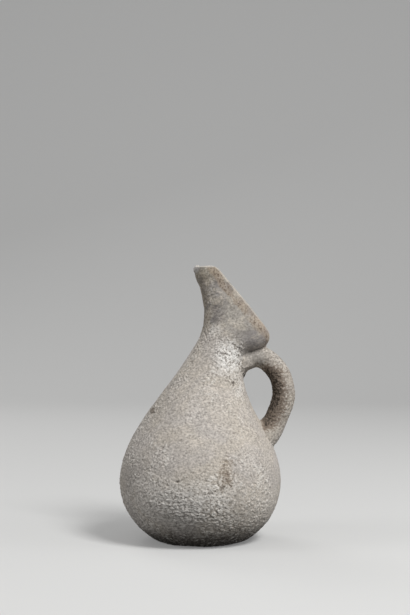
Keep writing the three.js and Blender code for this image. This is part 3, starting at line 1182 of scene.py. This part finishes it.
def wall_marks() -> tuple[Mark, ...]:
    """Returns the marks on the belly, the shoulder and the neck, in the order in which they are laid."""
    hollow = Coat((0.2, 0.182, 0.165, 1), (-0.75, -0.35), low=True)
    coarse = (Chalk(PUMICE, gap=hollow, strength=0.5), Chalk(PUMICE_SIDE, gap=hollow, strength=0.4))
    stain = (
        Blot(Patch(mm(19.5, -58, 57.5), mm(4.0, 14, 8.0), 0.9), (0.27, 0.21, 0.15, 1), 0.5, 4.5),
        Blot(Patch(mm(18.8, -58, 55), mm(2.4, 14, 4.5), 0.9), (0.15, 0.11, 0.08, 1), 0.45, 4.5),
    )
    spot = Blot(Patch(mm(-35.5, -12, 99.5), mm(2.2, 6, 1.9)), (0.15, 0.12, 0.09, 1), 0.7)
    # Painted light and shade on the belly's sides: pale blots lighten the shaded lower left and lower
    # right, the right one partly also paler crust, and a darker blot shades the upper left.
    sides = (
        Blot(Patch(mm(-37, -47, 36), mm(13, 18, 14), 0.7), (0.64, 0.595, 0.55, 1), 0.65),
        Blot(Patch(mm(50, -28, 27), mm(15, 24, 14), 0.7), (0.63, 0.585, 0.53, 1), 0.65),
        Blot(Patch(mm(-30, -22, 102), mm(15, 24, 18), 0.7), (0.34, 0.312, 0.28, 1), 0.45),
    )
    return (*sides, *NECK_CHALK, *coarse, *stain, spot, LIT_CORNER, FootShade(), Flecks(), Wiping())


def spout_marks() -> tuple[Mark, ...]:
    """Returns the marks on the spout, in the order in which they are laid."""
    cheeks = (
        Blot(Patch(mm(26, -17, 171.5), mm(12, 12, 13), 0.6), (0.47, 0.435, 0.382, 1), 0.6),
        Blot(Patch(mm(16, -14, 190), mm(5, 10, 6), 0.7), (0.47, 0.44, 0.412, 1), 0.4),
    )
    tan_end = Blot(Patch(mm(4, -6, 205), mm(15, 12, 6), 0.7), (0.23, 0.204, 0.158, 1), 0.7)
    tan_front = Blot(Patch(mm(2, 0, 186), mm(5, 14, 24), 0.6), (0.26, 0.22, 0.172, 1), 0.55)
    # Painted light: a pale lilac-grey blot that lightens the shaded underside at the back of the lip.
    lit_lip_back = Blot(Patch(mm(42, -12, 152.5), mm(10, 14, 7), 0.7), (0.56, 0.522, 0.51, 1), 0.5)
    blots = (*cheeks, tan_end, tan_front, lit_lip_back)
    lip_brown = Blot(Patch(mm(49.5, -3, 153.5), mm(2.5, 10, 4), 0.7), (0.19, 0.14, 0.1, 1), 0.4, 4.0)
    # Painted highlights: pale blots on the knob at the tip, along the top edge of the tip and along the
    # back edge of the lip; the knob's blot is partly also its own pale colour.
    edge_highlights = (
        Blot(Patch(mm(-3.2, -2, 207.8), mm(2.6, 8, 3)), (0.56, 0.54, 0.53, 1), 0.6),
        Blot(Patch(mm(4.5, -6, 210.4), mm(10, 9, 1.5), 0.3), (0.58, 0.55, 0.5, 1), 0.65, 1.0, 1.0),
        Blot(Patch(mm(53, -2, 156), mm(1.5, 9, 6), 0.3), (0.54, 0.5, 0.45, 1), 0.6, 1.0, 1.0),
    )
    return (*NECK_CHALK, *blots, Wiping(), RimTint(), lip_brown, *edge_highlights)


def handle_marks() -> tuple[Mark, ...]:
    """Returns the marks on the handle and its roots, in the order in which they are laid."""
    smooth_root = Blot(SMOOTH_ROOT, (0.4, 0.37, 0.335, 1), 0.65, 1.0, 1.0)
    # Painted light: a pale blot that lightens the shaded underside of the handle's lower root.
    lit_handle_foot = Blot(Patch(mm(60, -4, 81), mm(8, 20, 11), 0.6), (0.56, 0.52, 0.465, 1), 0.5)
    return (smooth_root, LIT_CORNER, lit_handle_foot, SootAndShade())


@dataclass(frozen=True)
class Clay:
    """Unglazed fired clay under a gritty mineral crust."""

    name: str
    marks: tuple[Mark, ...] = ()
    tone: float = 1.0
    cool: Colour = (0.455, 0.42, 0.387, 1)
    warm: Colour = (0.475, 0.43, 0.375, 1)
    cloud_size: float = 36 * MM
    cloud_edge: Span = (-0.12, 0.14)
    cream_per_metre: float = 0.9
    bare: Colour = (0.41, 0.365, 0.308, 1)
    greyed: Colour = (0.205, 0.188, 0.177, 1)
    bare_strength: float = 0.9
    patch_size: float = 10 * MM
    patch_edge: Span = (-0.06, 0.08)
    bloom: Coat = Coat((0.45, 0.42, 0.375, 1), (-0.02, 0.18), 0.55)
    bloom_size: float = 5.5 * MM
    tone_size: float = 17 * MM
    tone_gain: float = 0.3
    fray_size: float = 7 * MM
    speckle_size: float = 1.35 * MM
    speckle_stretch: Point = (0.8, 0.8, 1.0)
    speckle_gain: float = 2.1
    speckle_more: float = 0.7
    high: Coat = Coat((0.68, 0.65, 0.6, 1), (0.25, 1.3))
    high_speckle: float = 3.0
    high_strength: float = 0.35
    high_more: float = 0.4
    deep: Coat = Coat((0.12, 0.102, 0.088, 1), (-1.6, -0.35), 0.7, low=True)
    deep_speckle: float = 2.0
    spark: Coat = Coat((0.82, 0.795, 0.75, 1), (0.13, 0.2))
    pore: Coat = Coat((0.12, 0.102, 0.088, 1), (-0.2, -0.14), low=True)
    spark_size: float = 1.9 * MM
    spark_strength: float = 0.28
    spark_more: float = 0.45
    grit_size: float = 1.1 * MM
    grit_height: float = 0.35 * MM
    grit_strength: float = 0.6
    bare_calm: float = 0.65
    roughness: float = 0.97
    bare_polish: float = 0.2
    specular: float = 0.3

    def body(self, ground: Ground) -> Field:
        """Colours the plain clay.

        Args:
            ground: What the finish reads.

        Returns:
            The colour, with its clouds, grains and low places.
        """
        graph, place, traits = ground.graph, ground.place, ground.traits
        crust, bare, relief = traits[Trait.CRUST], traits[Trait.BARE], traits[Trait.RELIEF]
        side = graph.part(place, "X") * self.cream_per_metre
        clouds = graph.noise(place, self.cloud_size, detail=4.0, rough=0.55, warp=0.6) + side
        body = graph.mix(graph.ease(clouds, *self.cloud_edge), self.cool, self.warm)
        patches = graph.noise(place, self.patch_size, detail=4.0, rough=0.6, warp=0.5)
        smooth = graph.mix(graph.ease(patches, *self.patch_edge), self.greyed, self.bare)
        blooms = graph.noise(place, self.bloom_size, detail=3.0, rough=0.6, warp=0.4)
        smooth = self.bloom.lay(graph, smooth, blooms)
        body = graph.mix(bare * self.bare_strength, body, smooth)
        gain = self.speckle_gain + self.speckle_more * crust + self.speckle_more * bare
        tone = graph.noise(place, self.tone_size, detail=3.0, rough=0.6) * self.tone_gain
        body = graph.shade(body, self.tone + (tone + ground.speckle * gain))
        shown = self.high_strength + self.high_more * crust
        body = self.high.lay(graph, body, relief + ground.speckle * self.high_speckle, shown)
        body = self.deep.lay(graph, body, relief + ground.speckle * self.deep_speckle)
        sparks = graph.noise(place, self.spark_size, rough=0.6)
        shown = self.spark_strength + self.spark_more * crust
        body = self.spark.lay(graph, body, sparks, shown)
        return self.pore.lay(graph, body, sparks, shown)

    def material(self) -> bpy.types.Material:
        """Builds the finish.

        Returns:
            A material on object coordinates and the traits of the skin.
        """
        made = bpy.data.materials.new(self.name)
        made.use_nodes = True
        graph = Graph(made.node_tree)
        surface = made.node_tree.nodes["Principled BSDF"]
        place = graph.read("ShaderNodeTexCoord", "Object")
        traits = {
            each: graph.read("ShaderNodeAttribute", "Fac", {"attribute_name": each.value})
            for each in Trait
        }
        grains = graph.stretch(place, self.speckle_stretch)
        ground = Ground(
            graph,
            place,
            traits,
            ragged=graph.noise(place, self.fray_size, detail=4.0, rough=0.6),
            speckle=graph.noise(grains, self.speckle_size, detail=3.0, rough=0.7),
        )
        body = self.body(ground)
        for mark in self.marks:
            body = mark.paint(ground, body)
        bare = traits[Trait.BARE]
        grit = graph.noise(place, self.grit_size, detail=3.0, rough=0.65) * (1 - self.bare_calm * bare)
        heights = {"Strength": self.grit_strength, "Distance": self.grit_height, "Height": grit}
        bump = graph.add("ShaderNodeBump", None, heights)
        graph.feed(surface.inputs["Base Color"], body)
        graph.feed(surface.inputs["Roughness"], self.roughness - self.bare_polish * bare)
        graph.feed(surface.inputs["Normal"], bump.outputs[0])
        surface.inputs["Specular IOR Level"].default_value = self.specular
        return made


@dataclass
class Member:
    """A group of pieces of clay with the same finish."""

    nodes: tuple[str, ...]
    slot: Slot
    finish: bpy.types.Material

    def dress(self, meshes: dict[str, bpy.types.Mesh]) -> None:
        """Makes the group's pieces.

        Args:
            meshes: The cut-up skin.
        """
        for node in self.nodes:
            piece = linked(f"{node}_clay", meshes[node])
            piece.data.materials.append(self.finish)
            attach(piece, BODY)
            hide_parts(node)
            LOG.info("%s: %d faces", piece.name, len(piece.data.polygons))


@dataclass(frozen=True)
class Lamp:
    """A square soft light that faces the jug, with its side and its power in watts."""

    name: str
    place: Point
    side: float
    power: float
    aim: Point = (0.01, 0, 0.1)

    def hang(self) -> None:
        """Puts the light in its place."""
        light = bpy.data.lights.new(self.name, "AREA")
        light.shape = "SQUARE"
        light.size = self.side
        light.energy = self.power
        item = bpy.data.objects.new(self.name, light)
        item.location = self.place
        turn = (Vector(self.aim) - Vector(self.place)).to_track_quat("-Z", "Y")
        item.rotation_euler = turn.to_euler()
        bpy.context.scene.collection.objects.link(item)


@dataclass
class Studio:
    """Pale floor, soft lights and the camera."""

    floor: Colour = (0.5, 0.5, 0.492, 1)
    glow: float = 0.15
    bounce: Colour = (0.14, 0.14, 0.14, 1)
    half_width: float = 4.0
    sweep_steps: int = 16
    front: float = -3.0
    sweep_start: float = 1.4
    sweep_radius: float = 1.2
    wall_top: float = 4.0
    lamps: tuple[Lamp, ...] = (
        Lamp("key_light", (0.86, -1.08, 1.57), 0.6, 35.0),
        Lamp("left_light", (-1.5, -0.35, 0.75), 0.8, 6.2),
        Lamp("right_light", (1.6, -0.5, 0.7), 0.7, 4.2),
        Lamp("back_light", (-0.7, 1.25, 1.3), 0.9, 7.0),
    )
    sky: float = 0.27
    pale_sky: float = 0.4
    camera_place: Point = (0.0035, -1.0, 0.1783)
    level: Point = (math.pi / 2, 0.0, 0.0)
    lens: float = 76.1
    sensor: float = 36.0

    @staticmethod
    def shown(graph: Graph) -> Field:
        """Returns 1 where the floor or the sky is seen, and 0 where it only lights the jug."""
        seen = graph.read("ShaderNodeLightPath", "Is Camera Ray")
        glossy = graph.read("ShaderNodeLightPath", "Is Glossy Ray")
        through = graph.read("ShaderNodeLightPath", "Is Transmission Ray")
        return graph.math("MAXIMUM", graph.math("MAXIMUM", seen, glossy), through)

    def floor_material(self) -> bpy.types.Material:
        """Returns a pale matt finish that throws little light back."""
        made = bpy.data.materials.new("studio_floor")
        made.use_nodes = True
        graph = Graph(made.node_tree)
        surface = made.node_tree.nodes["Principled BSDF"]
        shown = self.shown(graph)
        graph.feed(surface.inputs["Base Color"], graph.mix(shown, self.bounce, self.floor))
        graph.feed(surface.inputs["Emission Color"], graph.shade(WHITE, shown * self.glow))
        surface.inputs["Emission Strength"].default_value = 1.0
        surface.inputs["Roughness"].default_value = 1.0
        surface.inputs["Specular IOR Level"].default_value = 0.0
        return made

    def sweep(self) -> bpy.types.Object:
        """Returns a floor that curves up into a backdrop."""
        outline = [(self.front, 0.0)]
        for i in range(self.sweep_steps + 1):
            turn = math.pi / 2 * i / self.sweep_steps
            outline.append(
                (
                    self.sweep_start + self.sweep_radius * math.sin(turn),
                    self.sweep_radius * (1 - math.cos(turn)),
                )
            )
        outline.append((self.sweep_start + self.sweep_radius, self.wall_top))
        points = [(side * self.half_width, y, z) for y, z in outline for side in (-1, 1)]
        faces = [(2 * i, 2 * i + 1, 2 * i + 3, 2 * i + 2) for i in range(len(outline) - 1)]
        mesh = bpy.data.meshes.new("studio_floor")
        mesh.from_pydata(points, [], faces)
        mesh.polygons.foreach_set("use_smooth", np.ones(len(faces), bool))
        mesh.materials.append(self.floor_material())
        item = linked("studio_floor", mesh)
        return item

    def build(self) -> None:
        """Sets up the floor, the lights and the camera."""
        self.sweep()
        for lamp in self.lamps:
            lamp.hang()
        world = bpy.data.worlds.new("studio")
        world.use_nodes = True
        background = world.node_tree.nodes["Background"]
        background.inputs["Color"].default_value = (*WHITE, 1.0)
        graph = Graph(world.node_tree)
        strength = self.shown(graph) * (self.pale_sky - self.sky) + self.sky
        graph.feed(background.inputs["Strength"], strength)
        bpy.context.scene.world = world
        lens = bpy.data.cameras.new("camera")
        lens.lens = self.lens
        lens.sensor_width = self.sensor
        camera = bpy.data.objects.new("camera", lens)
        camera.location = self.camera_place
        camera.rotation_euler = self.level
        bpy.context.scene.collection.objects.link(camera)
        bpy.context.scene.camera = camera
        bpy.context.scene.view_settings.view_transform = "Standard"


def corners(bounds: tuple[Vector, Vector]) -> list[list[float]]:
    """Returns a box as plain lists."""
    return [list(corner) for corner in bounds]


def main() -> None:
    """Builds the jug's pieces and the studio around them."""
    logging.basicConfig(level=logging.INFO, format="%(name)s: %(message)s")
    for item in list(bpy.data.objects):
        bpy.data.objects.remove(item)
    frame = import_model()
    finishes = {
        Slot.CRUSTED: Clay("crusted_clay", wall_marks()).material(),
        Slot.BARE: Clay("bare_clay", spout_marks()).material(),
        Slot.HANDLE: Clay(
            "handle_clay",
            handle_marks(),
            tone=0.83,
            cool=(0.455, 0.408, 0.362, 1),
            warm=(0.475, 0.425, 0.365, 1),
            bare=(0.46, 0.42, 0.37, 1),
            greyed=(0.42, 0.39, 0.355, 1),
        ).material(),
    }
    wall = [name for name in frame["nodes"] if "coil" in name or name in ("base_disc", "neck")]
    members = [
        Member(tuple(wall), Slot.CRUSTED, finishes[Slot.CRUSTED]),
        Member(("spout_collar", "spout_beak"), Slot.BARE, finishes[Slot.BARE]),
        Member(("handle", "upper_root_roll", "lower_root_roll"), Slot.HANDLE, finishes[Slot.HANDLE]),
    ]
    skin = Skin(frame["nodes"], finishes[Slot.CRUSTED])
    meshes = skin.cut(skin.grow())
    for member in members:
        member.dress(meshes)
    Studio().build()


if __name__ == "__main__":
    main()
